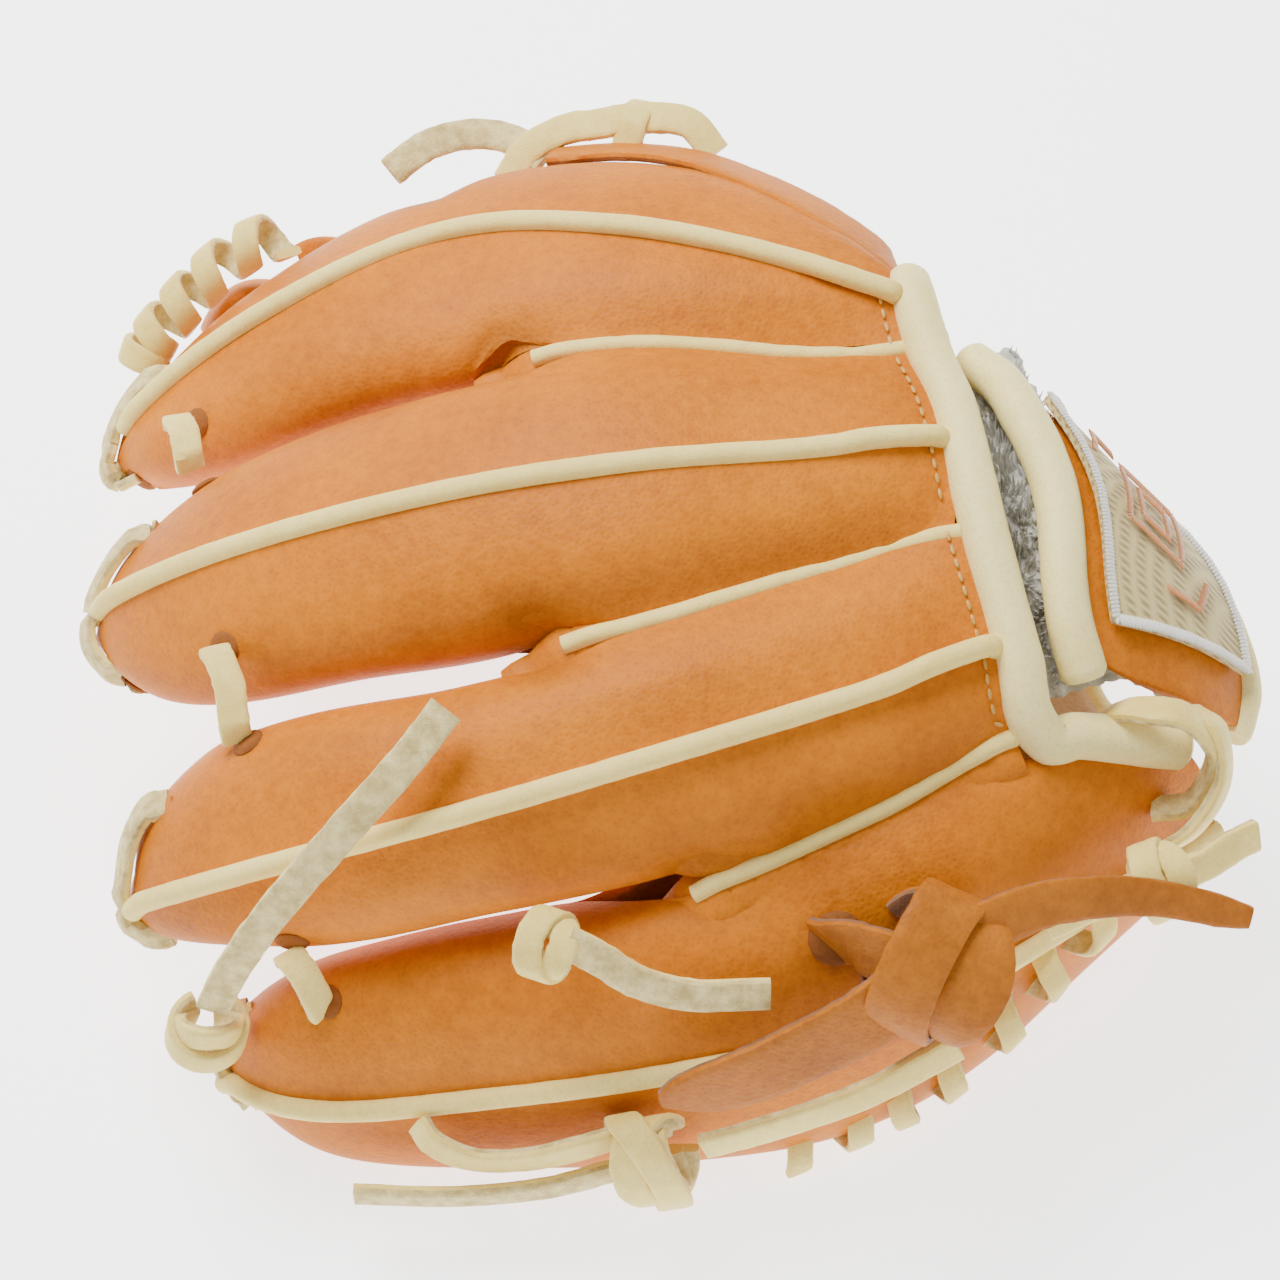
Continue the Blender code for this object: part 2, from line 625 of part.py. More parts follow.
LEFT_TAIL = [(-7, -116, 24), (-20, -118.5, 21), (-38, -119.5, 19), (-57, -119, 19)]
free_strip("side_knot_tail_left", LEFT_TAIL, 11, LACE_W, LACE_T, LACE)
knot("heel_knot", (97, -72, 62), (7, 6, 5.5), LACE)
free_strip("heel_knot_tail", [(105, -69, 62), (110, -66, 63), (115, -63, 62)], 6, LACE_W, LACE_T, LACE)

# Brown loop strap through the pinky's back, knotted, with two tails.
knot("loop_strap_knot", (52, -93, 70), (12, 9, 8.5), TAB)
TAB_LEFT = [(39, -102, 66), (30, -105, 60), (17, -109, 54.5), (2, -112, 49)]
free_strip("loop_strap_tail_left", TAB_LEFT, 10, TAB_W, TAB_T, TAB)
TAB_RIGHT = [(64, -86, 73), (75, -82, 73), (92, -79, 69), (112, -80, 62)]
free_strip("loop_strap_tail_right", TAB_RIGHT, 11, TAB_TIP_W, TAB_T, TAB)

# Wrist lace over the back binding, and the spiral lace along the pinky side of the heel.
WRIST_LACE = [(88, -50, 78), (92, -46, 81.5), (98, -43, 81.5), (104, -42, 77)]
tube("wrist_lace", smooth_points(WRIST_LACE, 9), LACE_ROUND_R, LACE)
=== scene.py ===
import math

import bmesh
import bpy
from mathutils import Matrix, Vector, noise
from mathutils.bvhtree import BVHTree


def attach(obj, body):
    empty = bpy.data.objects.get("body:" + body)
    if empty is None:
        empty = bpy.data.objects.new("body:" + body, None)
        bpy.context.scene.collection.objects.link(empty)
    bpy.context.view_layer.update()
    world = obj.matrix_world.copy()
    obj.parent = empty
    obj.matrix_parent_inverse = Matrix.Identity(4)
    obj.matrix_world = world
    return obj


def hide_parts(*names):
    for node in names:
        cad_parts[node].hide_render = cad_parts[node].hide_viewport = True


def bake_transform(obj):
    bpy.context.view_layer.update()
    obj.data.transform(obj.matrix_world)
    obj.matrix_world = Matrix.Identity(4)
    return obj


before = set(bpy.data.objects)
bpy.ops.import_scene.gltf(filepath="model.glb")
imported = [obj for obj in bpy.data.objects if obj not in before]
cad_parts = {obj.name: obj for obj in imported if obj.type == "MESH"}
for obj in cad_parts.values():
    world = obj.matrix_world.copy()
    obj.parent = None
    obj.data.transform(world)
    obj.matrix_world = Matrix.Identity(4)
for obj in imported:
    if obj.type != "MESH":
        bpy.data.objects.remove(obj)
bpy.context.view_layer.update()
MM = 0.001

# The table, the light and the camera: a white sweep lit by one broad window-like
# softbox from above the fingers, a low fill at the wrist and an even white room.
LOOK_AT = Vector((0.3, 11.0, 42.1)) * MM
CAMERA_RISE = math.radians(60)
CAMERA_FAR = 0.620
LENS, SENSOR = 85.05, 36.0
WHITE_ROOM = 0.86


def linked(name, data):
    """A new object in the scene's own collection."""
    obj = bpy.data.objects.new(name, data)
    bpy.context.scene.collection.objects.link(obj)
    return obj


def softbox(name, place, size, power, tint=(1, 1, 1)):
    """A rectangular area light aimed at the middle of the object."""
    lamp = bpy.data.lights.new(name, "AREA")
    lamp.shape, lamp.size, lamp.size_y = "RECTANGLE", *size
    lamp.energy, lamp.color = power, tint
    obj = linked(name, lamp)
    obj.location = place
    obj.rotation_euler = (LOOK_AT - Vector(place)).to_track_quat("-Z", "Y").to_euler()


def nodes_of(mat):
    """The material's tree, its shader and a helper that adds a node with the given settings."""
    mat.use_nodes = True
    tree = mat.node_tree

    def add(kind, **settings):
        node = tree.nodes.new("ShaderNode" + kind)
        for key, value in settings.items():
            if key in node.inputs:
                node.inputs[key].default_value = value
            else:
                setattr(node, key, value)
        return node

    return tree, tree.nodes["Principled BSDF"], add


camera = bpy.data.cameras.new("camera")
camera.lens, camera.sensor_width = LENS, SENSOR
camera.shift_x, camera.shift_y = -10 / 1280, -48 / 1280
eye = linked("camera", camera)
back = Vector((0, -math.cos(CAMERA_RISE), math.sin(CAMERA_RISE)))
eye.location = LOOK_AT + back * CAMERA_FAR
eye.rotation_euler = (-back).to_track_quat("-Z", "Y").to_euler()
bpy.context.scene.camera = eye

softbox("window", (-0.25, 0.35, 0.75), (0.5, 0.4), 13.0)
softbox("near_fill", (0.35, -0.75, 0.55), (0.8, 0.5), 1.6)
room = bpy.data.worlds.new("room")
room.use_nodes = True
room.node_tree.nodes["Background"].inputs["Color"].default_value = (WHITE_ROOM,) * 3 + (1,)
room.node_tree.nodes["Background"].inputs["Strength"].default_value = 0.72
bpy.context.scene.world = room

table = bmesh.new()
bmesh.ops.create_grid(table, x_segments=1, y_segments=1, size=3.0)
table_mesh = bpy.data.meshes.new("table")
table.to_mesh(table_mesh)
table.free()
floor = linked("table", table_mesh)
floor.location.z = -0.0004
white = bpy.data.materials.new("table_white")
tree, shader, add = nodes_of(white)
shader.inputs["Roughness"].default_value = 0.6
shader.inputs["Emission Color"].default_value = (1, 1, 1, 1)
shader.inputs["Emission Strength"].default_value = 2.6
coords = add("TexCoord")
dust = add("TexNoise", Scale=9.0, Detail=3.0)
shade = add("MapRange")
shade.inputs["To Min"].default_value, shade.inputs["To Max"].default_value = 0.90, 0.93
tree.links.new(coords.outputs["Object"], dust.inputs["Vector"])
tree.links.new(dust.outputs["Fac"], shade.inputs["Value"])
tree.links.new(shade.outputs["Result"], shader.inputs["Base Color"])
table_mesh.materials.append(white)

# The shell: steer hide, drum-dyed tan and lightly oiled, two panels to each stall's back.
# The grain is a tight pebble that opens into faint creases where the leather bends.
TAN_DEEP = (0.44, 0.112, 0.0, 1)
TAN_BRIGHT = (0.68, 0.205, 0.001, 1)
# The darkest tan, which the grain pits and the pinched dimples go towards; in the dimples it is partly
# wear and partly painted shade.
TAN_PITS_WEAR_SHADE = (0.10, 0.026, 0.003, 1)
PEBBLE = 1100.0  # pebbles to the metre
GRAIN_DEPTH = 0.00022


def hide_leather(name, deep, bright, pits_wear_shade, rough=0.47, pebble=PEBBLE, depth=GRAIN_DEPTH):
    """Grained leather, darker in the pits of its grain; a value stored on the mesh darkens its folds,
    partly wear and partly painted shade.
    """
    mat = bpy.data.materials.new(name)
    tree, shader, add = nodes_of(mat)
    link = tree.links.new
    coords = add("TexCoord")
    cloud = add("TexNoise", Scale=26.0, Detail=4.0, Roughness=0.6)
    mottle = add("TexNoise", Scale=420.0, Detail=3.0, Roughness=0.55)
    pores = add("TexVoronoi", Scale=pebble, feature="SMOOTH_F1", Smoothness=0.6)
    fine = add("TexNoise", Scale=pebble * 2.6, Detail=2.0)
    fold = add("TexNoise", Scale=150.0, Detail=6.0, Roughness=0.7, Distortion=0.6)
    for tex in (cloud, mottle, pores, fine, fold):
        link(coords.outputs["Object"], tex.inputs["Vector"])
    both = add("Math", operation="MULTIPLY_ADD")
    both.inputs[1].default_value = 0.55
    link(mottle.outputs["Fac"], both.inputs[0])
    link(cloud.outputs["Fac"], both.inputs[2])
    tone = add("MapRange")
    for socket, value in (("From Min", 0.48), ("From Max", 1.05)):
        tone.inputs[socket].default_value = value
    link(both.outputs[0], tone.inputs["Value"])
    colour = add("Mix", data_type="RGBA")
    colour.inputs[6].default_value, colour.inputs[7].default_value = deep, bright
    link(tone.outputs["Result"], colour.inputs[0])
    # The stored darkness on the mesh is partly wear and partly painted shade in the pinched dimples.
    wear_and_shade = add("Attribute", attribute_name="wear_and_shade")
    pit = add("MapRange")
    for socket, value in (("From Min", 0.0), ("From Max", 0.5), ("To Min", 0.20), ("To Max", 0.0)):
        pit.inputs[socket].default_value = value
    link(pores.outputs["Distance"], pit.inputs["Value"])
    wear_shade_dark = add("Math", operation="ADD", use_clamp=True)
    link(wear_and_shade.outputs["Fac"], wear_shade_dark.inputs[0])
    link(pit.outputs["Result"], wear_shade_dark.inputs[1])
    # Towards the darkest tone: grain pits, and the stored darkness that is partly wear and partly
    # painted shade.
    pits_wear_shade_mix = add("Mix", data_type="RGBA")
    pits_wear_shade_mix.inputs[7].default_value = pits_wear_shade
    link(wear_shade_dark.outputs[0], pits_wear_shade_mix.inputs[0])
    link(colour.outputs[2], pits_wear_shade_mix.inputs[6])
    link(pits_wear_shade_mix.outputs[2], shader.inputs["Base Color"])
    height = add("Math", operation="MULTIPLY_ADD")
    height.inputs[1].default_value = 0.35
    link(fine.outputs["Fac"], height.inputs[0])
    link(pores.outputs["Distance"], height.inputs[2])
    crease = add("Math", operation="MULTIPLY_ADD")
    crease.inputs[1].default_value = 1.1
    link(fold.outputs["Fac"], crease.inputs[0])
    link(height.outputs[0], crease.inputs[2])
    bump = add("Bump", Strength=0.5, Distance=depth)
    link(crease.outputs[0], bump.inputs["Height"])
    link(bump.outputs["Normal"], shader.inputs["Normal"])
    gloss = add("MapRange")
    for socket, value in (("To Min", rough - 0.07), ("To Max", rough + 0.13)):
        gloss.inputs[socket].default_value = value
    link(both.outputs[0], gloss.inputs["Value"])
    link(gloss.outputs["Result"], shader.inputs["Roughness"])
    shader.inputs["Specular IOR Level"].default_value = 0.18
    shader.inputs["Sheen Weight"].default_value = 0.0
    shader.inputs["Sheen Roughness"].default_value = 0.5
    return mat


tan = hide_leather("tan_steerhide", TAN_DEEP, TAN_BRIGHT, TAN_PITS_WEAR_SHADE)


def node_copy(node):
    """A bmesh of a CAD node, its triangles merged and paired."""
    bm = bmesh.new()
    bm.from_mesh(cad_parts[node].data)
    bmesh.ops.remove_doubles(bm, verts=bm.verts, dist=1e-5)
    bmesh.ops.join_triangles(
        bm, faces=bm.faces, angle_face_threshold=0.9, angle_shape_threshold=3.1
    )
    return bm


def rounded(bm, levels, cut_edges=0.75):
    """The bmesh after Catmull-Clark rounding, its cut edges kept nearly square."""
    crease = bm.edges.layers.float.get("crease_edge") or bm.edges.layers.float.new("crease_edge")
    bm.normal_update()
    for edge in bm.edges:
        if len(edge.link_faces) == 2 and edge.calc_face_angle() > 1.0:
            edge[crease] = cut_edges
    mesh = bpy.data.meshes.new("cage")
    bm.to_mesh(mesh)
    cage = linked("cage", mesh)
    sub = cage.modifiers.new("rounding", "SUBSURF")
    sub.levels = sub.render_levels = levels
    bm.clear()
    bm.from_object(cage, bpy.context.evaluated_depsgraph_get())
    bpy.data.objects.remove(cage)
    bpy.data.meshes.remove(mesh)
    return bm


def surface(*nodes):
    """A search tree over the CAD nodes' surfaces."""
    points, faces = [], []
    for node in nodes:
        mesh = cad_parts[node].data
        start = len(points)
        points += [v.co.copy() for v in mesh.vertices]
        faces += [[start + i for i in face.vertices] for face in mesh.polygons]
    return BVHTree.FromPolygons(points, faces)


def tucked(bm, neighbours, reach, share, sink=0.0):
    """Draws the edges that lie near a neighbour up to it, and a little way under it."""
    for vert in bm.verts:
        near, normal, _, far = neighbours.find_nearest(vert.co, reach)
        if near is not None:
            vert.co = vert.co.lerp(near - normal * sink, share)


def drawn_up(bm, tree, gap, reach):
    """Stretches the skin's last reach metres to meet a neighbour that lies a gap away."""
    for vert in bm.verts:
        near, normal, _, far = tree.find_nearest(vert.co, reach)
        if near is not None and far > 1e-6:
            left = max(far - gap, 0.0) * reach / (reach - gap)
            way = vert.co - near
            vert.co = near + way * (left / far) - normal * 1.2 * MM * (left < 1.0 * MM)


def finished(name, bm, body, looks, nodes=(), blend=None, sharp=40):
    """The bmesh as a named piece that rides on a body, or, given blend, stands on its own with its
    transform baked.
    """
    mesh = bpy.data.meshes.new(name)
    bm.to_mesh(mesh)
    bm.free()
    for look in looks if isinstance(looks, list) else [looks]:
        mesh.materials.append(look)
    mesh.shade_smooth()
    mesh.set_sharp_from_angle(angle=math.radians(sharp))
    obj = linked(name, mesh)
    if blend:
        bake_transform(obj)
    else:
        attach(obj, body)
    if nodes:
        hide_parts(*nodes)
    return obj


STALLS = ["thumb", "index", "middle", "ring", "pinky"]
BODY_OF = {"thumb": "thumb"}
SOFT_LUMP = 0.45 * MM  # how far the padded leather rolls in and out
# Dimples and pinches: place, radius and depth in millimetres, and how dark the leather goes, partly
# wear and partly painted shade in the sunk dimple.
PINCHES = [
    ((-27, 37, 88.5), 11, 1.8, 0.6),
    ((-21, -26, 88), 12, 2.2, 0.45),
    ((11, -66, 66), 12, 1.8, 0.35),
    ((-46, 92, 76), 10, 2.0, 0.75),
    ((36, -81, 62), 9, 1.2, 0.5),
    ((50, 62, 82), 11, 1.0, 0.5),
]


def pinched(bm, seed):
    """Sinks the skin at each pinch, rolls it softly elsewhere and notes how dark it goes there, partly
    wear and partly painted shade in the dimple.
    """
    wear_and_shade = bm.verts.layers.float.new("wear_and_shade")
    bm.normal_update()
    shifts = []
    for vert in bm.verts:
        roll = noise.noise(vert.co * 38 + Vector((seed, 0, 0))) * SOFT_LUMP
        dark = 0.0
        for place, radius, depth, wear_shade_dark in PINCHES:
            gone = (vert.co - Vector(place) * MM).length / (radius * MM)
            if gone < 2:
                near = math.exp(-2.2 * gone * gone)
                ripple = 1 + 0.2 * noise.noise(vert.co * 300)
                roll -= depth * MM * near * ripple
                # Darkest in the middle of each sunk dimple: painted shade, with some wear.
                dark = max(dark, wear_shade_dark * near * ripple)
        shifts.append((vert, vert.normal * roll, dark))
    for vert, shift, dark in shifts:
        vert.co += shift
        vert[wear_and_shade] = min(max(dark, 0), 1)


def leather_panel(node, neighbours, levels=3):
    """One panel: a copy of its CAD slab with its edges under the welts, rounded and pinched."""
    bm = node_copy(node)
    for tree, reach, share, sink in neighbours:
        tucked(bm, tree, reach * MM, share, sink * MM)
    if levels == 3:
        if node not in ("thumb_back_upper", "thumb_back_lower"):
            drawn_up(bm, surface("back_binding"), 9.0 * MM, 24.0 * MM)
    rounded(bm, levels)
    pinched(bm, len(node))
    return bm


PANEL_SEAMS = {
    "thumb_back_upper": (["thumb_crest_welt"], ["thumb_palm_leather"]),
    "thumb_back_lower": (["thumb_crest_welt"], ["thumb_palm_leather"]),
    "index_back_upper": (["index_crest_welt"], ["palm_leather"]),
    "index_back_lower": (["index_crest_welt", "index_valley_welt"], ["palm_leather"]),
    "middle_back_upper": (["middle_crest_welt", "index_valley_welt"], ["palm_leather"]),
    "middle_back_lower": (["middle_crest_welt", "middle_valley_welt"], ["palm_leather"]),
    "ring_back_upper": (["ring_crest_welt", "middle_valley_welt"], ["palm_leather"]),
    "ring_back_lower": (["ring_crest_welt", "ring_valley_welt"], ["palm_leather"]),
    "pinky_back_upper": (["pinky_crest_welt", "ring_valley_welt"], ["palm_leather"]),
    "pinky_back_lower": (["pinky_crest_welt"], ["palm_leather"]),
}
skin = []
for node, (welts, fronts) in PANEL_SEAMS.items():
    stall = node.split("_")[0]
    crests = [w for w in welts if "crest" in w]
    valleys = [w for w in welts if "valley" in w]
    seams = [(surface(*crests), 2.8, 1.0, 0.9), (surface(*fronts), 5.0, 0.55, 0.0)]
    if valleys:
        seams.append((surface(*valleys), 6.0, 1.0, 0.9))
    bm = leather_panel(node, seams)
    skin.append(finished(node + "_hide", bm, BODY_OF.get(stall, "hand"), tan, [node]))

for node, body in (("palm_leather", "hand"), ("thumb_palm_leather", "thumb")):
    backs = [n for n in PANEL_SEAMS if n.startswith("thumb") == (body == "thumb")]
    bm = leather_panel(node, [(surface(*backs), 4.5, 0.5, 0.0)], 2)
    skin.append(finished(node + "_hide", bm, body, tan, [node]))


def hide_tree():
    """A search tree over the finished leather, for what lies on it."""
    points, faces = [], []
    for obj in skin:
        start = len(points)
        points += [v.co.copy() for v in obj.data.vertices]
        faces += [[start + i for i in face.vertices] for face in obj.data.polygons]
    return BVHTree.FromPolygons(points, faces)


hide = hide_tree()

# Welting: a folded strip of cream leather sewn into each crest and valley seam, so that
# only its rounded fold stands out of the seam.
CREAM_DEEP = (0.80, 0.60, 0.16, 1)
CREAM_BRIGHT = (0.93, 0.76, 0.26, 1)
CREAM_BURNT = (0.42, 0.25, 0.09, 1)
cream = hide_leather("cream_welting", CREAM_DEEP, CREAM_BRIGHT, CREAM_BURNT, 0.5, 1500.0, 0.00012)
pale = hide_leather(
    "cream_binding", (0.88, 0.72, 0.27, 1), (0.96, 0.84, 0.38, 1), CREAM_BURNT, 0.46, 1300.0, 0.00012
)


def lerp(a, b, x):
    return a + (b - a) * x


def through(points, count):
    """Evenly numbered points along a smooth curve through given ones, in metres."""
    points = [Vector(p) * MM for p in points]
    found = []
    for k in range(count):
        t = (len(points) - 1) * k / (count - 1)
        i = min(int(t), len(points) - 2)
        x = t - i
        p1, p2 = points[i], points[i + 1]
        p0 = points[i - 1] if i else 2 * p1 - p2
        p3 = points[i + 2] if i + 2 < len(points) else 2 * p2 - p1
        found.append(
            0.5
            * (
                2 * p1
                + (p2 - p0) * x
                + (2 * p0 - 5 * p1 + 4 * p2 - p3) * x * x
                + (3 * p1 - p0 - 3 * p2 + p3) * x**3
            )
        )
    return found


def directions(points, outs):
    """For each point, the way along, the way across and the way out."""
    last = len(points) - 1
    found = []
    for i, out in enumerate(outs):
        along = (points[min(i + 1, last)] - points[max(i - 1, 0)]).normalized()
        out = (out - along * out.dot(along)).normalized()
        found.append((along, along.cross(out), out))
    return found


def swept(points, outs, width, thick, around=12, square=0.45, ends=1.0, rag=0.0, taper=None):
    """A closed strip or roll along the points: a grid rolled up round them and capped.

    square is 1 for a round section and less for a flat one; faces on the outer side
    take the first material and those on the inner side the second.
    """
    rows = len(points) - 1
    ways = directions(points, outs)
    bm = bmesh.new()
    bmesh.ops.create_grid(bm, x_segments=rows, y_segments=around, size=0.5)
    for face in bm.faces:
        turn = face.calc_center_median().y + 0.5
        face.material_index = 0 if turn < 0.5 else 1
    for vert in bm.verts:
        i = round((vert.co.x + 0.5) * rows)
        turn = 2 * math.pi * round((vert.co.y + 0.5) * around) / around
        along, across, out = ways[i]
        size = ends if i in (0, rows) else 1.0
        c, s = math.cos(turn), math.sin(turn)
        x = math.copysign(abs(c) ** square, c) * width / 2 * size
        z = math.copysign(abs(s) ** square, s) * thick / 2 * size
        if taper:
            x *= taper(i / rows)
        if rag:
            x += rag * noise.noise(points[i] * 900 + Vector((c, s, 0))) * (abs(c) > 0.5)
        vert.co = points[i] + across * x + out * z
    bmesh.ops.remove_doubles(bm, verts=bm.verts, dist=1e-6)
    rims = [e for e in bm.edges if e.is_boundary]
    bmesh.ops.holes_fill(bm, edges=rims, sides=0)
    bmesh.ops.recalc_face_normals(bm, faces=bm.faces)
    return bm


def flat_patch(face):
    """The faces that carry on level from this one."""
    patch, edge_of = {face}, [face]
    while edge_of:
        for edge in edge_of.pop().edges:
            for other in edge.link_faces:
                if other not in patch and other.normal.dot(face.normal) > 0.999:
                    patch.add(other)
                    edge_of.append(other)
    return {v for f in patch for v in f.verts}


def rings_of(node, sides=8):
    """The middle of each ring of a CAD tube, in order along it from one of its caps."""
    bm = bmesh.new()
    bm.from_mesh(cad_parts[node].data)
    bmesh.ops.remove_doubles(bm, verts=bm.verts, dist=1e-5)
    bm.normal_update()
    ring = set()
    for patch in map(flat_patch, bm.faces):
        middle = sum((v.co for v in patch), Vector()) / len(patch)
        reach = [(v.co - middle).length for v in patch]
        if len(patch) == sides and max(reach) < 1.06 * min(reach):
            if not ring or middle.x < sum(v.co.x for v in ring) / sides:
                ring = patch
    left, middles = set(bm.verts), []
    while ring:
        middles.append(sum((v.co for v in ring), Vector()) / len(ring))
        left -= ring
        beside = {e.other_vert(v) for v in ring for e in v.link_edges} & left
        ring = beside
    bm.free()
    return middles


def refined(points, count):
    """More points along the same path."""
    return through([p / MM for p in points], count)


def skin_outs(points, tree):
    """The leather's normal nearest to each point."""
    return [tree.find_nearest(p)[1] for p in points]


WELT_D, VALLEY_WELT_D = 4.2 * MM, 3.6 * MM
WELTS = {f"{s}_crest_welt": (BODY_OF.get(s, "hand"), WELT_D) for s in STALLS}
WELTS |= {f"{v}_valley_welt": ("hand", VALLEY_WELT_D) for v in ("index", "middle", "ring")}
welt_paths = {}
binding_tree = surface("back_binding")
for node, (body, size) in WELTS.items():
    path = rings_of(node)
    step = path[0] - path[1]
    if "crest" in node:  # on round the fingertip, under its lace
        tip_way = (path[0] - path[2]).normalized()
        path = [path[0] + tip_way * 3.5 * MM - Vector((0, 0, 2.2 * MM))] + path
    else:
        path = [path[0] + step * 0.9 - Vector((0, 0, 1.2 * MM))] + path
    end = path[-1]
    near, _, _, far = binding_tree.find_nearest(end)
    if far < 20 * MM and node != "pinky_crest_welt" and "thumb" not in node:
        halfway = end.lerp(near, 0.45) + Vector((0, 0, 0.5 * MM))
        path = path[:-1] + [halfway, near - Vector((0, 0, 0.8 * MM))]
    path = refined(path, 90)
    welt_paths[node] = path
    outs = [Vector((0, 0, 1)) if body == "hand" else Vector((0, 0.6, 0.6))] * len(path)
    bm = swept(path, outs, size, size * 1.05, around=14, square=0.92, rag=0.0)
    for vert in bm.verts:
        vert.co += Vector((0, 0, 1)) * noise.noise(vert.co * 260) * 0.22 * MM
    finished(node.replace("welt", "piping"), bm, body, cream, [node])

# In each valley a tan gusset lies under the welting and closes the gap between two stalls.
for node, path in welt_paths.items():
    if "valley" in node:
        step = (path[0] - path[6]).normalized() * 2 * MM
        ahead = [path[0] + step * k - Vector((0, 0, 0.5 * k)) * MM for k in range(6, 0, -1)]
        low = [p - Vector((0, 0, 1.6)) * MM for p in ahead + path]
        bm = swept(
            low, [Vector((0.1, 0, 1))] * len(low), 13 * MM, 2.6 * MM, around=14, square=0.7,
            taper=lambda share: min(1.0, 0.25 + 9 * share),
        )
        for vert in bm.verts:
            away = min((vert.co - p).length for p in low[::6])
            vert.co.z -= max(away - 3 * MM, 0) * 0.45
        finished(node.replace("welt", "gusset"), bm, "hand", tan)

# Rolled bindings: cream leather rolled over a cord round the back opening, the strap and
# the heel, and whipped down with gold thread just inside its edge.
ROLLS = {
    "back_binding": ("hand", 9.2, pale, 110),
    "strap_inner_binding": ("wrist_strap_body", 8.8, pale, 70),
    "strap_outer_binding": ("wrist_strap_body", 6.2, pale, 70),
    "heel_binding": ("hand", 6.2, cream, 90),
    "thumb_heel_binding": ("thumb", 6.2, cream, 30),
}
roll_paths = {}
for node, (body, size, look, count) in ROLLS.items():
    path = refined(rings_of(node), count)
    roll_paths[node] = path
    outs = [Vector((0.4, 0, 1))] * len(path)
    bm = swept(path, outs, size * MM, size * MM, around=20, square=0.96, ends=0.8)
    bm.normal_update()
    for vert in bm.verts:
        soft = noise.noise(vert.co * 55) * 0.25 + noise.noise(vert.co * 210) * 0.10
        vert.co += vert.normal * soft * MM
    finished(node + "_roll", bm, body, look, [node])

# Web, bars and the crease of the pocket: plain tan leather that the thumb folds on.
gusset_path = [
    (57, 58.5, 66), (54, 60.5, 74.5), (48.5, 64.5, 82.2), (41, 70.5, 84.2), (31.5, 78.5, 83.5),
    (20.5, 86.2, 82.0), (7.6, 93.2, 80.0), (-6, 98.0, 76.0), (-20, 99.5, 72.5),
]
HINGE_FROM, HINGE_TO = Vector((20, 74, 85)) * MM, Vector((22, 88, 76)) * MM
path = through(gusset_path, 60)
outs = [Vector((0.15, 0.62, 0.77))] * 60
bm = swept(path, outs, 12.5 * MM, 2.6 * MM, around=16, square=0.5, rag=0.5 * MM)
raw_edge = hide_leather(
    "raw_brown", (0.14, 0.045, 0.012, 1), (0.30, 0.11, 0.028, 1), (0.08, 0.02, 0.006, 1),
    rough=0.8, pebble=2400.0, depth=0.0004,
)
across_pocket = ("hand", "thumb", HINGE_FROM, HINGE_TO)
finished("pocket_hinge_strip", bm, None, [tan, raw_edge], blend=across_pocket)

bm = node_copy("web_panel")
rounded(bm, 3)
pinched(bm, 3)
finished("web_hide", bm, "web", tan, ["web_panel"])
bar = refined(rings_of("web_top_bar"), 40)
bm = swept(bar, [Vector((-0.4, 0.5, 0.7))] * 40, 9.5 * MM, 5.0 * MM, around=16, square=0.6, ends=0.8)
finished("web_top_loop", bm, "web", tan, ["web_top_bar"])

# Wrist strap: a padded tan band, faced with sheepskin inside, with a woven patch sewn on.
bm = node_copy("wrist_strap")
tucked(bm, surface("strap_inner_binding", "strap_outer_binding"), 3.6 * MM, 1.0, 1.2 * MM)
rounded(bm, 3)
pinched(bm, 5)
finished("wrist_strap_hide", bm, "wrist_strap_body", tan, ["wrist_strap"])

FLEECE_LIGHT, FLEECE_DARK = (0.74, 0.72, 0.66, 1), (0.34, 0.33, 0.29, 1)
FLEECE_BED = [
    (61, 42, 74), (66, 27, 76), (69, 14, 77), (71, 3, 77), (72, -8, 76), (74, -18, 73), (77, -27, 68),
]
BED_WIDTH, PILE = 27.0, 5.5


def fibre(name, dark, light, grain, rough=0.95, depth=0.0004, sheen=0.3):
    """Short rough fibres: suede, fleece and felt."""
    mat = bpy.data.materials.new(name)
    tree, shader, add = nodes_of(mat)
    link = tree.links.new
    coords = add("TexCoord")
    clump = add("TexNoise", Scale=grain * 0.3, Detail=3.0)
    nap = add("TexNoise", Scale=grain, Detail=5.0, Roughness=0.75, Distortion=1.2)
    for tex in (clump, nap):
        link(coords.outputs["Object"], tex.inputs["Vector"])
    both = add("Math", operation="MULTIPLY_ADD")
    both.inputs[1].default_value = 0.6
    link(nap.outputs["Fac"], both.inputs[0])
    link(clump.outputs["Fac"], both.inputs[2])
    tone = add("MapRange")
    tone.inputs["From Min"].default_value, tone.inputs["From Max"].default_value = 0.58, 1.0
    link(both.outputs[0], tone.inputs["Value"])
    colour = add("Mix", data_type="RGBA")
    colour.inputs[6].default_value, colour.inputs[7].default_value = dark, light
    link(tone.outputs["Result"], colour.inputs[0])
    link(colour.outputs[2], shader.inputs["Base Color"])
    bump = add("Bump", Strength=0.9, Distance=depth)
    link(nap.outputs["Fac"], bump.inputs["Height"])
    link(bump.outputs["Normal"], shader.inputs["Normal"])
    shader.inputs["Roughness"].default_value = rough
    shader.inputs["Sheen Weight"].default_value = sheen
    return mat


fleece = fibre("grey_fleece", FLEECE_DARK, FLEECE_LIGHT, 420.0, sheen=0.5)
bed = through(FLEECE_BED, 50)
bed_outs = [Vector((-0.15, 0.0, 1)).normalized()] * 50
bm = swept(bed, bed_outs, BED_WIDTH * MM, PILE * MM, around=40, square=0.7)
bmesh.ops.subdivide_edges(bm, edges=bm.edges, cuts=1, use_grid_fill=True)
bm.normal_update()
for vert in bm.verts:
    curl = noise.noise(vert.co * 330) * 1.5 + noise.noise(vert.co * 900) * 0.8
    vert.co += vert.normal * curl * MM
finished("sheepskin_bed", bm, "wrist_strap_body", fleece)

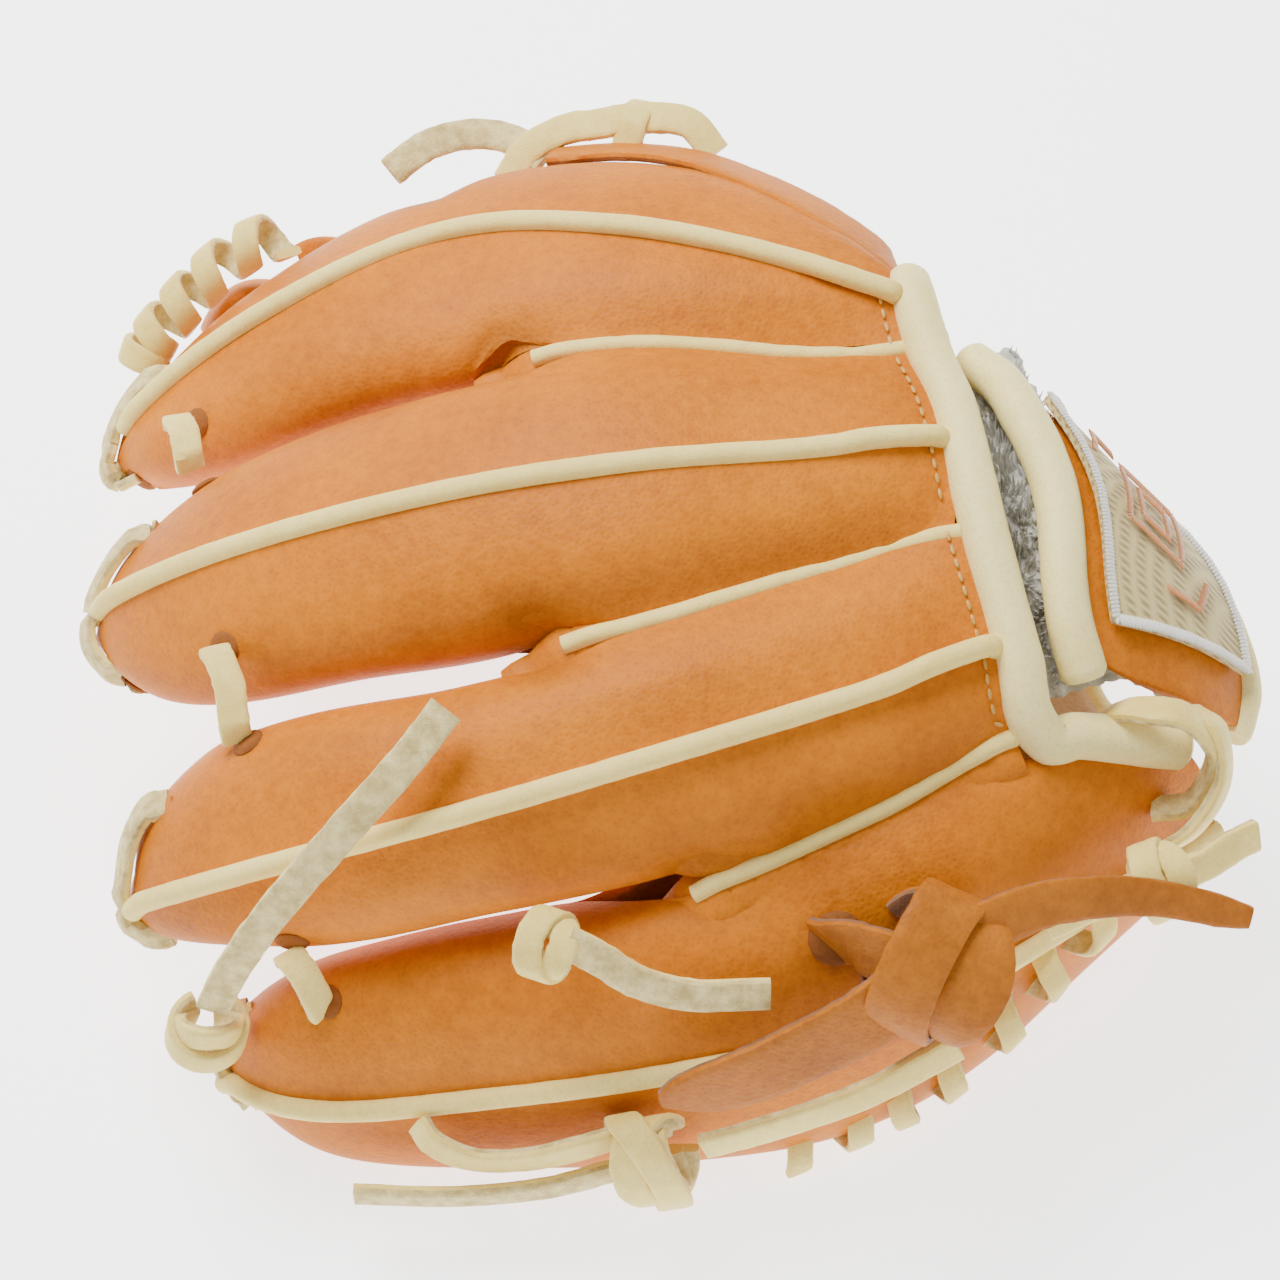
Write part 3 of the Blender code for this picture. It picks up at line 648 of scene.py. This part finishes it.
LOCKS = 1500
bm = bmesh.new()
ways = directions(bed, bed_outs)
for k in range(LOCKS):
    i = 1 + (k * 29) % 47
    along, across, out = ways[i]
    spread = math.sin(k * 12.9898) * 43758.5453 % 1 - 0.5
    root = bed[i] + across * spread * BED_WIDTH * 0.92 * MM + along * (math.sin(k * 7.3) * 1.2 * MM)
    root += out * PILE * (0.5 - 1.1 * spread * spread) * MM * 0.8
    lean = Vector((noise.noise(root * 160), noise.noise(root * 160 + Vector((9, 0, 0))), 0)) * 0.9
    way = (out + lean + across * spread * 0.8).normalized()
    made = bmesh.ops.create_cone(
        bm, cap_ends=True, segments=4, radius1=0.50 * MM, radius2=0.06 * MM, depth=4.2 * MM
    )
    turn = Vector((0, 0, 1)).rotation_difference(way).to_matrix().to_4x4()
    place = Matrix.Translation(root + way * 1.6 * MM) @ turn
    bmesh.ops.transform(bm, verts=made["verts"], matrix=place)
finished("sheepskin_locks", bm, "wrist_strap_body", fleece)
bm = node_copy("strap_fur_lining")
rounded(bm, 3, 0.2)
bm.normal_update()
for vert in bm.verts:
    vert.co += vert.normal * (noise.noise(vert.co * 330) * 0.9 + noise.noise(vert.co * 900) * 0.5) * MM
lining = finished("strap_sheepskin", bm, "wrist_strap_body", fleece, ["strap_fur_lining"])

# The patch: beige canvas with a whipped white edge and a plain stitched diamond and darts.
bm = node_copy("strap_patch")
patch_middle = sum((v.co for v in bm.verts), Vector()) / len(bm.verts)
patch_tree = surface("strap_patch")


def rim_of(bm, out):
    """The corner points, in order, round the face of a slab that looks outwards."""
    bm.normal_update()
    top = [f for f in bm.faces if f.normal.dot(out) > 0.5]
    rim = [e for f in top for e in f.edges if sum(o in top for o in e.link_faces) == 1]
    ends = {}
    for edge in rim:
        for vert in edge.verts:
            ends.setdefault(vert, []).append(edge.other_vert(vert))
    first = next(iter(ends))
    loop, last = [first], None
    while True:
        step = [v for v in ends[loop[-1]] if v is not last]
        last = loop[-1]
        if step[0] is first or len(loop) > len(ends):
            return [v.co.copy() for v in loop]
        loop.append(step[0])


patch_out = patch_tree.find_nearest(patch_middle + Vector((0.03, 0, 0.03)))[1]
rim = rim_of(bm, patch_out)
canvas_mat = bpy.data.materials.new("woven_canvas")
tree, shader, add = nodes_of(canvas_mat)
link = tree.links.new
coords = add("TexCoord")
place_weave = add("Mapping")
place_weave.inputs["Rotation"].default_value = (0.5, 0.6, 0.35)
link(coords.outputs["Object"], place_weave.inputs["Vector"])
warp = add("TexWave", Scale=240.0, bands_direction="X", Distortion=1.5, Detail=2.0)
weft = add("TexWave", Scale=190.0, bands_direction="Y", Distortion=1.5, Detail=2.0)
weave = add("Math", operation="MAXIMUM")
for tex, socket in ((warp, 0), (weft, 1)):
    link(place_weave.outputs["Vector"], tex.inputs["Vector"])
    link(tex.outputs["Fac"], weave.inputs[socket])
colour = add("Mix", data_type="RGBA")
colour.inputs[6].default_value = (0.30, 0.21, 0.07, 1)
colour.inputs[7].default_value = (0.60, 0.48, 0.20, 1)
link(weave.outputs[0], colour.inputs[0])
link(colour.outputs[2], shader.inputs["Base Color"])
bump = add("Bump", Strength=0.7, Distance=0.0003)
link(weave.outputs[0], bump.inputs["Height"])
link(bump.outputs["Normal"], shader.inputs["Normal"])
shader.inputs["Roughness"].default_value = 0.85
shader.inputs["Sheen Weight"].default_value = 0.2
rounded(bm, 3)
finished("strap_patch_canvas", bm, "wrist_strap_body", canvas_mat, ["strap_patch"])


def thread(name, deep, bright, rough=0.45):
    """Twisted embroidery thread."""
    mat = bpy.data.materials.new(name)
    tree, shader, add = nodes_of(mat)
    coords = add("TexCoord")
    ply = add("TexNoise", Scale=1800.0, Detail=3.0, Distortion=0.8)
    tree.links.new(coords.outputs["Object"], ply.inputs["Vector"])
    colour = add("Mix", data_type="RGBA")
    colour.inputs[6].default_value, colour.inputs[7].default_value = deep, bright
    tree.links.new(ply.outputs["Fac"], colour.inputs[0])
    tree.links.new(colour.outputs[2], shader.inputs["Base Color"])
    bump = add("Bump", Strength=0.6, Distance=0.0002)
    tree.links.new(ply.outputs["Fac"], bump.inputs["Height"])
    tree.links.new(bump.outputs["Normal"], shader.inputs["Normal"])
    shader.inputs["Roughness"].default_value = rough
    shader.inputs["Sheen Weight"].default_value = 0.35
    return mat


white_thread = thread("white_edging_thread", (0.55, 0.52, 0.42, 1), (0.85, 0.83, 0.76, 1))
gold_thread = thread("gold_thread", (0.34, 0.17, 0.02, 1), (0.72, 0.42, 0.06, 1), 0.35)
russet_thread = thread("russet_thread", (0.38, 0.12, 0.02, 1), (0.66, 0.25, 0.04, 1), 0.4)


def stitches(name, path, outs, body, look, long, fat, lean=0.0, flat=0.6):
    """A stitch for every point but the last, each a small thread loop lying along the path."""
    bm = bmesh.new()
    for (along, across, out), point in zip(directions(path, outs), path):
        way = (along * math.cos(lean) + across * math.sin(lean)).normalized()
        made = bmesh.ops.create_uvsphere(bm, u_segments=8, v_segments=6, radius=0.5)
        grid = Matrix((way * long, out.cross(way) * fat, out * fat * flat)).transposed().to_4x4()
        bmesh.ops.transform(bm, verts=made["verts"], matrix=Matrix.Translation(point) @ grid)
    return finished(name, bm, body, look, sharp=80)


def paced(points, pitch):
    """Points at an even pitch along a path."""
    found, over = [points[0]], pitch
    for a, b in zip(points, points[1:]):
        far = (b - a).length
        while over <= far:
            found.append(a.lerp(b, over / far))
            over += pitch
        over -= far
    return found


loop = [p / MM for p in rim + rim[:1]]
edge = []
for a, b in zip(loop, loop[1:]):
    edge += [Vector(a).lerp(Vector(b), k / 6) * MM for k in range(6)]
edge = paced([patch_middle.lerp(p, 0.975) + patch_out * 0.5 * MM for p in edge + edge[:1]], 0.8 * MM)
stitches("patch_whipped_edge", edge, [patch_out] * len(edge), "wrist_strap_body", white_thread,
         3.0 * MM, 1.1 * MM, lean=1.35, flat=0.9)

patch_way = Vector((-0.55, 0.83, 0)).normalized()
patch_way = (patch_way - patch_out * patch_way.dot(patch_out)).normalized()
patch_side = patch_out.cross(patch_way)
MOTIF = [
    [(-9, 0), (0, 6.5), (9, 0), (0, -6.5), (-9, 0)],
    [(-4.5, 0), (0, 3.2), (4.5, 0), (0, -3.2), (-4.5, 0)],
    [(12, 5), (16, 0), (12, -5)], [(-12, 5), (-16, 0), (-12, -5)],
]
for k, run in enumerate(MOTIF):
    marks = []
    for (a, b), (c, d) in zip(run, run[1:]):
        marks += [(lerp(a, c, x / 12), lerp(b, d, x / 12)) for x in range(12)]
    marks = [patch_middle + (patch_way * a + patch_side * b) * 1.3 * MM for a, b in marks]
    marks = [patch_tree.ray_cast(m + patch_out * 0.02, -patch_out)[0] or m for m in marks]
    marks = paced([m + patch_out * 0.9 * MM for m in marks], 0.55 * MM)
    stitches(f"patch_motif_{k}", marks, [patch_out] * len(marks), "wrist_strap_body", russet_thread,
             2.3 * MM, 0.6 * MM, lean=1.1, flat=0.9)

# The row of gold stitches that holds the back binding, each in its own sunk hole.
row = [p + Vector((-6.9, -1.2, 0)) * MM for p in roll_paths["back_binding"][6:]]
row = paced(row, 2.9 * MM)
row = [hide.ray_cast(p + Vector((0, 0, 9)) * MM, Vector((0, 0, -1)), 14 * MM) for p in row]
row = [hit for hit in row if hit[0] is not None]
points = [near + normal * 0.5 * MM for near, normal, _, _ in row if normal.z > 0.2]
outs = [normal for near, normal, _, _ in row if normal.z > 0.2]
stitches("binding_stitches", points, outs, "hand", gold_thread, 2.3 * MM, 0.8 * MM)

# Linings and pads: glove leather inside each stall and over the palm, wool felt in the heel.
soft_leather = hide_leather(
    "lining_leather", (0.40, 0.20, 0.07, 1), (0.55, 0.30, 0.12, 1), TAN_PITS_WEAR_SHADE, rough=0.7
)
felt = fibre("wool_felt", (0.42, 0.40, 0.36, 1), (0.62, 0.60, 0.55, 1), 500.0)
for node in ["palm_lining"] + [f"{s}_lining" for s in STALLS]:
    bm = rounded(node_copy(node), 2)
    pinched(bm, 1)
    stall = node.split("_")[0]
    finished(node + "_hide", bm, BODY_OF.get(stall, "hand"), soft_leather, [node])
for node, body in (("heel_pad", "hand"), ("thumb_pad", "thumb")):
    bm = rounded(node_copy(node), 2, 0.2)
    finished(node + "_felt", bm, body, felt, [node])

# Lacing: rawhide cut 6.6 mm wide, smooth cream on its grain side, rough suede on the other.
LACE_W, LACE_T = 6.6 * MM, 2.5 * MM
grain = hide_leather(
    "rawhide_grain", (0.74, 0.54, 0.13, 1), (0.93, 0.76, 0.25, 1), (0.36, 0.18, 0.04, 1),
    rough=0.42, pebble=1800.0, depth=0.0001,
)
suede = fibre("rawhide_suede", (0.52, 0.38, 0.13, 1), (0.90, 0.74, 0.33, 1), 1100.0, sheen=0.1)
GLOVE_CORE = Vector((0, 11, 12.1)) * MM


def from_core(points):
    """The directions out of the glove's long middle line."""
    return [(p - Vector((p.x, GLOVE_CORE.y, GLOVE_CORE.z))).normalized() for p in points]


def lace(name, points, outs, body, nodes=(), width=LACE_W, thick=LACE_T, looks=None, blend=None,
         taper=None):
    """A flat lace with its grain side out and ragged suede edges."""
    bm = swept(points, outs, width, thick, around=16, square=0.42, rag=0.25 * MM, taper=taper)
    return finished(name, bm, body, looks or [grain, suede], nodes, blend)


def hugging(path, lift, bury=3.0):
    """The path laid on the leather, its two ends gone down through their holes."""
    laid = []
    for k, point in enumerate(path):
        near, normal, _, _ = hide.find_nearest(point)
        share = k / (len(path) - 1)
        hop = math.sin(math.pi * share)
        sunk = bury * MM * (1 - min(1, 6 * min(share, 1 - share)))
        laid.append(near + normal * ((lift + 0.8 * hop) * MM - sunk))
    return laid


def hole(bm, place, normal, radius):
    """A shallow dimple where a lace goes down into the leather; the dark leather put on it is painted
    shade of the hole.
    """
    made = bmesh.ops.create_uvsphere(bm, u_segments=14, v_segments=8, radius=radius * MM)
    turn = Vector((0, 0, 1)).rotation_difference(normal).to_matrix().to_4x4()
    squash = Matrix.Diagonal((1.0, 1.0, 0.35, 1))
    bmesh.ops.transform(bm, verts=made["verts"], matrix=Matrix.Translation(place) @ turn @ squash)


# Dark leather for the lace-hole dimples: painted shade of the holes.
hole_shade_hide = hide_leather(
    "punched_hide", (0.16, 0.05, 0.012, 1), (0.30, 0.10, 0.02, 1), TAN_PITS_WEAR_SHADE, rough=0.75
)
holes = bmesh.new()
for stall in ("index", "middle", "ring", "pinky"):
    node = f"{stall}_tip_lace"
    path = refined(rings_of(node), 36)
    laid = hugging(path, 1.3)
    for end in (laid[0], laid[-1]):
        near, normal, _, _ = hide.find_nearest(end)
        hole(holes, near, normal, 3.6)
    faces_out = [(o + Vector((-0.9, -0.15, 0.5))).normalized() for o in skin_outs(laid, hide)]
    lace(f"{stall}_tip_thong", laid, faces_out, "hand", [node], looks=[suede, grain])
for pair in ("index_middle", "middle_ring", "ring_pinky"):
    node = f"{pair}_cross_lace"
    path = refined(rings_of(node), 20)
    path = [path[0] + (path[0] - path[3]) * 0.6 - Vector((0, 0, 3 * MM))] + path
    path += [path[-1] + (path[-1] - path[-4]) * 0.6 - Vector((0, 0, 3 * MM))]
    for end in (path[1], path[-2]):
        near, normal, _, _ = hide.find_nearest(end)
        hole(holes, near, normal, 3.4)
    lace(f"{pair}_cross_thong", path, [Vector((0.1, 0, 1))] * len(path), "hand", [node], width=6.0 * MM)


def wrap(centre, axis, out, wide, high, tilt, count=28, first=0.06, last=0.94):
    """One turn of lace round an axis, its ends left under the knot."""
    axis = axis.normalized()
    out = (out - axis * out.dot(axis)).normalized()
    across = axis.cross(out)
    points, outs = [], []
    for k in range(count):
        a = 2 * math.pi * lerp(first, last, k / (count - 1)) - math.pi / 2
        way = across * math.cos(a) * wide + out * math.sin(a) * high
        points.append(centre + way + axis * math.sin(a) * math.tan(tilt) * high)
        outs.append((across * math.cos(a) / wide + out * math.sin(a) / high).normalized())
    return points, outs


def knot(
    name, centre, axis, out, size, body, nodes, looks=None, width=LACE_W, thick=LACE_T,
    turns=(0.45, -0.55),
):
    """An overhand knot: crossing turns pulled tight over the tails."""
    centre = Vector(centre) * MM
    for k, tilt in enumerate(turns):
        grow = 1 + 0.22 * k
        points, outs = wrap(
            centre + axis.normalized() * (0.25 - 0.5 * k) * size[0] * 0.4 * MM, axis, out,
            size[1] * grow * MM, size[2] * grow * MM, tilt,
        )
        replaced = nodes if k == 0 else ()
        lace(f"{name}_turn_{k}", points, outs, body, replaced, width, thick, looks)


def tail(
    name, points, count, node, width=LACE_W, flip=False, body="hand", looks=None,
    taper=None, thick=LACE_T, roll=None,
):
    """A free end of lace through its route's points, cut square."""
    path = through(points, count)
    outs = from_core(path)
    if roll:
        outs = [(o + roll * (k / count)).normalized() for k, o in enumerate(outs)]
    looks = looks or ([suede, grain] if flip else [grain, suede])
    replaced = [node] if node else ()
    obj = lace(name, path, outs, body, replaced, width, thick, looks, taper=taper)
    return obj


PINKY_TAIL = [
    (-82.7, -80, 42.1), (-77.2, -77, 55.1), (-67.7, -72, 71.1), (-54.7, -62, 83.1),
    (-44.7, -52.5, 89.1),
    (-36.7, -43, 93.1),
]
tail("pinky_tip_free_end", PINKY_TAIL, 40, "pinky_tip_tail", flip=True)
knot(
    "pinky_tip_knot_lace", (-84.5, -81.5, 35), Vector((0.25, 0.25, 1)), Vector((0.2, -1, 0.2)),
    (7, 5.5, 4.2), "hand", ["pinky_tip_knot"], width=5.6 * MM,
)
CROTCH_TAIL = [
    (-15, -79.5, 72), (-8.7, -82, 69.6), (-1.7, -85, 66.1), (8.3, -86.5, 63.6), (22.3, -86, 63.1),
]
tail("crotch_free_end", CROTCH_TAIL, 26, "crotch_tail", flip=True)
knot(
    "crotch_knot_lace", (-18, -79, 69), Vector((1, -0.3, -0.1)), Vector((0, -0.4, 1)),
    (6, 4.6, 4.0), "hand", ["crotch_knot"], width=5.4 * MM,
)

SIDE_LACE = [
    (-44, -98, 28), (-40.7, -102, 27.1), (-32.7, -104, 24.1), (-21.7, -104, 25.1),
    (-11.7, -103, 29.1), (-5, -101, 30),
]
tail("side_strand", SIDE_LACE, 26, "side_lace")
RIGHT_TAIL = [(10.3, -104.5, 33.1), (22.3, -102.5, 37.1), (40.3, -98, 43.1), (57.3, -91, 50.1)]
tail("side_right_free_end", RIGHT_TAIL, 26, "side_knot_tail_right")
LEFT_TAIL = [(-6.7, -105, 21.1), (-19.7, -107.5, 18.1), (-37.7, -108.5, 16.1), (-56.7, -108, 16.1)]
tail("side_left_free_end", LEFT_TAIL, 26, "side_knot_tail_left", flip=True)
knot(
    "side_knot_lace", (2, -105, 27), Vector((1, 0.05, 0.35)), Vector((0.1, -1, 0.35)),
    (7, 8.0, 4.2), "hand", ["side_knot"], turns=(0.1, -0.7, 0.6),
)

HEEL_TAIL = [(98, -62, 60), (105.3, -58, 59.1), (110.3, -55, 60.1), (115.3, -52, 59.1)]
tail("heel_free_end", HEEL_TAIL, 16, "heel_knot_tail")
HEEL_OTHER_TAIL = [(96, -62, 60), (88, -65, 60.5), (81, -67.5, 59), (74.3, -70, 57)]
tail("heel_other_end", HEEL_OTHER_TAIL, 16, None)
knot(
    "heel_knot_lace", (96, -61.5, 59.5), Vector((1, 0.4, 0)), Vector((0, -0.5, 1)),
    (6, 5.4, 4.4), "hand", ["heel_knot"], width=5.8 * MM,
)

# The wrist lace: one lace twice round the corner of the back binding and into the strap.
WRIST_OVER = [
    (88, -30, 66), (90.3, -32, 72), (94.3, -34.5, 76.5), (101.3, -36, 76), (107, -39, 67),
    (104, -44, 57), (97, -44, 54),
]
path = through(WRIST_OVER, 40)
outs = [(p - Vector((96, -40, 62)) * MM).normalized() for p in path]
lace("wrist_lace_over", path, outs, "hand", ["wrist_lace"])
WRIST_DOWN = [(103, -31, 70), (107.5, -36, 71), (109, -43, 64), (104, -50, 58), (98, -52, 52)]
path = through(WRIST_DOWN, 30)
outs = [(p - Vector((96, -40, 58)) * MM).normalized() for p in path]
lace("wrist_lace_down", path, outs, "hand")

# The loop strap: a 14 mm brown strap through two slots in the little finger's back, tied
# in one big knot; its free ends are cut to points.
chestnut = hide_leather(
    "chestnut_strap", (0.26, 0.070, 0.004, 1), (0.48, 0.150, 0.010, 1), TAN_PITS_WEAR_SHADE, rough=0.42
)
flesh = fibre("chestnut_flesh", (0.13, 0.042, 0.008, 1), (0.28, 0.10, 0.022, 1), 900.0)
TAB_W, TAB_T = 14.0 * MM, 2.6 * MM
brown = [chestnut, flesh]


def to_point(share):
    """Full width, then a rounded point over the last fifth."""
    x = max(share - 0.72, 0) / 0.28
    return math.sqrt(max(1 - x * x, 0.03))


def narrowing(share):
    """Wide at the knot, narrower to the end and cut to a short point."""
    return 1.15 - 0.55 * share if share < 0.93 else 0.64 - 3.0 * (share - 0.93)


TAB_LEFT = [(48, -86, 66), (39.3, -91, 62.1), (30.3, -94, 57.1), (17.3, -98, 51.6), (2.3, -100, 46.1)]
tail(
    "loop_strap_left_end", TAB_LEFT, 40, "loop_strap_tail_left", TAB_W, looks=brown,
    taper=to_point, thick=TAB_T,
)
TAB_RIGHT = [(57, -79, 70), (64.3, -75, 71.1), (75.3, -71, 70.6), (92.3, -68, 66.1), (112.3, -69, 59.1)]
tail(
    "loop_strap_right_end", TAB_RIGHT, 40, "loop_strap_tail_right", 9.8 * MM,
    looks=brown, taper=narrowing, thick=TAB_T, roll=Vector((0, 0, 0.8)),
)
TAB_IN = [(33, -74, 60), (38, -78, 66), (46, -83, 69.5), (55, -86, 66), (60, -86, 58)]
path = through(TAB_IN, 30)
lace(
    "loop_strap_crossing", path, from_core(path), "hand", (), 12 * MM, TAB_T, brown,
)
knot(
    "loop_strap_knot_fold", (52, -81, 65), Vector((1, -0.35, -0.25)), Vector((0, -0.75, 1)),
    (10, 11, 7.4), "hand", ["loop_strap_knot"], brown, 12.5 * MM, TAB_T, turns=(0.75, -0.35),
)
for place in ((35, -75, 62), (62, -87, 56)):
    near, normal, _, _ = hide.find_nearest(Vector(place) * MM)
    hole(holes, near, normal, 5.5)

# Whip lacing: a lace wound through the punched edges of the heel and of the web.
def whipped(name, route, turns, radius, body, width=5.2, first_out=Vector((0, -0.3, 1))):
    """A lace wound turn after turn round a route."""
    path = through(route, turns * 16 + 1)
    ways = directions(path, [first_out] * len(path))
    points, outs = [], []
    for k, (point, (along, across, out)) in enumerate(zip(path, ways)):
        a = 2 * math.pi * k / 16
        way = across * math.cos(a) + out * math.sin(a)
        points.append(point + way * radius * MM)
        outs.append(way)
    return lace(name, points, outs, body, (), width * MM, 2.0 * MM)


HEEL_WHIP = [
    (28, -95, 5), (44.3, -90, 12), (55.3, -87, 20), (69.3, -78, 33), (80, -68, 43), (94, -55, 48),
]
whipped("heel_whip_lace", HEEL_WHIP, 7, 4.4, "hand")
WEB_WHIP = [
    (-108, 66, 44), (-106, 70, 47), (-100.7, 75, 51), (-94.7, 80, 55), (-86.7, 85, 59),
    (-78, 88, 61),
]
whipped("web_whip_lace", WEB_WHIP, 5, 4.6, "hand", 5.6)

# The web's own laces, tied off behind the first finger.
WEB_END = [(-54.7, 99, 68), (-46.7, 105.5, 69), (-36.7, 110, 67), (-28, 107, 68), (-22, 102, 68)]
path = through(WEB_END, 30)
lace("web_free_end", path, [Vector((0.1, -0.4, 1))] * 30, "hand", looks=[suede, grain])
WEB_TOP = [
    (-30, 98, 66), (-25.7, 104, 69), (-18, 107, 72), (-10.7, 107, 74), (-2, 107, 76),
    (8.3, 105, 77), (14, 99, 74),
]
path = through(WEB_TOP, 36)
lace("web_top_lace", path, [Vector((0.0, -0.3, 1))] * 36, "hand")
path = through([(-5, 101, 72), (-3, 106, 76.5), (-1, 111, 75), (0, 113, 70)], 16)
lace("web_small_lace", path, [Vector((0.0, 0.3, 1))] * 16, "hand")
# The dimples take the dark leather that paints the holes' shade.
finished("lace_holes", holes, "hand", hole_shade_hide)
